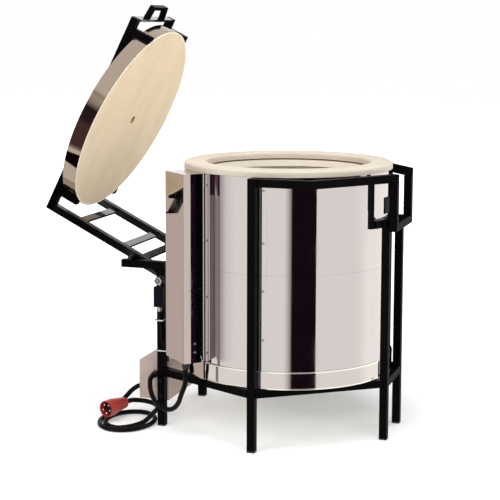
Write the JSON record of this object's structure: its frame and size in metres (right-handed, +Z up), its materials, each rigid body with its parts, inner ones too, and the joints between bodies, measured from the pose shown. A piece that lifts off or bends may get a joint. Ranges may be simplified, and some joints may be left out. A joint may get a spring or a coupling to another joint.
{
  "type": "pottery kiln",
  "caption": "Round top-loading electric pottery kiln on a square-tube stand, its heavy lid carried by a hinged L-shaped lever, with terminal box, switch box and mains plug",
  "frame": {"origin": "on the floor, under the middle of the whole length from the open lid's lever corner to the ends of the top bars", "axes": "+X to the handle side, +Y across from the terminal box side to the far side, +Z up"},
  "size_m": [1.1892, 0.747, 1.3757],
  "materials": {
    "black_paint": "satin",
    "polished_steel": "polished",
    "base_steel": "polished",
    "bright_steel": "polished",
    "black_plastic": "matte",
    "switch_plastic": "satin",
    "dark_plastic": "matte",
    "board": "matte",
    "blanket": "matte",
    "brick": "matte",
    "refractory": "matte",
    "element_wire": "oxidised",
    "porcelain": "satin",
    "grey_paint": "satin",
    "cable_rubber": "satin",
    "white_plastic": "satin",
    "red_plastic": "satin",
    "plug_dark": "matte",
    "pin_metal": "polished"
  },
  "bodies": {
    "stand": {"hinge_legs": "black_paint", "hinge_bars": "black_paint", "side_legs": "black_paint", "top_bars": "black_paint", "handle_legs": "black_paint", "cross_bar": "black_paint", "handle_posts": "black_paint", "catch_bars": "black_paint", "blank_plate": "black_paint", "frame_base": "black_paint", "leg_caps": "black_plastic", "base_tray": "base_steel", "base_plate": "base_steel", "casing_lower": "polished_steel", "casing_upper": "polished_steel", "casing_screws": "bright_steel", "floor_board": "board", "floor_brick": "brick", "brick_lower": "brick", "brick_middle": "brick", "brick_upper": "brick", "blanket": "blanket", "collar": "refractory", "elements": "element_wire", "element_tails": "element_wire", "thermocouple": "porcelain", "terminal_strip": "porcelain", "terminal_cover": "polished_steel", "terminal_screws": "bright_steel", "lid_switch": "switch_plastic", "switch_gland": "bright_steel", "switch_cable": "cable_rubber", "cable_ties": "white_plastic", "box_body": "grey_paint", "box_cover": "grey_paint", "box_screws": "bright_steel", "box_bolts": "bright_steel", "box_rail": "bright_steel", "contactors": "dark_plastic", "cable_glands": "black_plastic", "link_cable": "cable_rubber", "power_cord": "cable_rubber", "plug_shell": "red_plastic", "plug_insert": "plug_dark", "plug_pins": "pin_metal", "plug_nut": "red_plastic"},
    "lid": {"lid_slab": "refractory", "lid_band": "polished_steel", "lid_back": "polished_steel", "lid_clamps": "black_paint", "clamp_screws": "bright_steel", "lid_rails": "black_paint", "ladder": "black_paint", "lever_bars": "black_paint", "lid_handle": "black_paint", "hinge_bolt": "bright_steel", "hinge_spacers": "bright_steel", "hinge_nut": "bright_steel", "switch_cam": "black_plastic"},
    "plunger": {"switch_plunger": "bright_steel"}
  },
  "joints": [
    {"name": "lid_hinge", "type": "hinge", "parent": "stand", "child": "lid", "pos_m": [-0.16629, 0, 0.488], "axis": [0, 1, 0], "range_deg": [0, 63.4]},
    {"name": "switch_travel", "type": "slide", "parent": "stand", "child": "plunger", "axis": [0, 0, 1], "range_m": [-0.0032, 0]}
  ],
  "couplings": [
    {"joint": "switch_travel", "follows": "lid_hinge", "m_per_rad": -0.00285}
  ]
}
